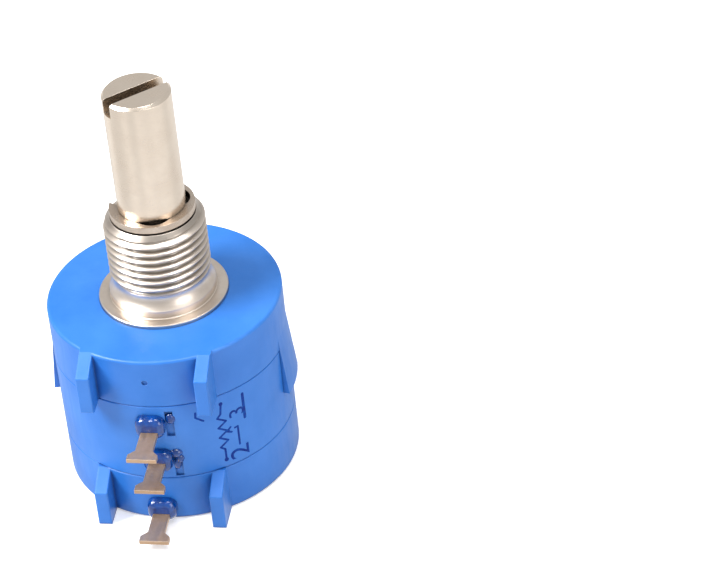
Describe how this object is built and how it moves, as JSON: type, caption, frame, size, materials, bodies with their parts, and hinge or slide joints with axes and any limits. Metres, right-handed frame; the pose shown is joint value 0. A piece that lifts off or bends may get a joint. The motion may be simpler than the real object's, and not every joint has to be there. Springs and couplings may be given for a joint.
{
  "type": "multiturn potentiometer",
  "caption": "Multiturn wirewound potentiometer: slotted metal shaft in a threaded bushing, cylindrical blue moulded body with fins, flat solder lugs in a row",
  "frame": {"origin": "centre of the mounting face of the bushing's flange, on the shaft axis", "axes": "+Z runs out of the panel along the shaft, -Y is the side of the solder lugs"},
  "size_m": [0.0234, 0.027, 0.041],
  "materials": {
    "blue_plastic": "satin",
    "seal_resin": "glossy",
    "nickel": "satin",
    "steel": "satin",
    "lug_metal": "satin",
    "rotor_plastic": "matte",
    "carriage_plastic": "matte",
    "contact_metal": "satin",
    "resistance_wire": "satin"
  },
  "bodies": {
    "housing": {"front_cover": "blue_plastic", "middle_housing": "blue_plastic", "rear_cover": "blue_plastic", "bushing": "nickel", "terminal_1": "lug_metal", "terminal_2": "lug_metal", "terminal_3": "lug_metal", "terminal_seal_1": "seal_resin", "terminal_seal_2": "seal_resin", "terminal_seal_3": "seal_resin", "resistance_element": "resistance_wire", "element_lead_front": "contact_metal", "element_lead_rear": "contact_metal", "slider_lead": "contact_metal", "collector_brush": "contact_metal"},
    "rotor_group": {"shaft": "nickel", "retaining_ring": "steel", "thrust_washer": "steel", "rotor": "rotor_plastic", "contact_rail": "contact_metal", "slip_ring": "contact_metal"},
    "carriage_group": {"wiper_carriage": "carriage_plastic", "wiper_contact": "contact_metal", "rail_contact": "contact_metal"}
  },
  "joints": [
    {"name": "shaft_turn", "type": "hinge", "parent": "housing", "child": "rotor_group", "pos_m": [0, 0, 0], "axis": [0, 0, 1], "range_deg": [-1710, 1890]},
    {"name": "carriage_travel", "type": "slide", "parent": "rotor_group", "child": "carriage_group", "axis": [0, 0, 1], "range_m": [-0.00571, 0.00631]}
  ],
  "couplings": [
    {"joint": "carriage_travel", "follows": "shaft_turn", "m_per_rad": 0.00019099}
  ]
}
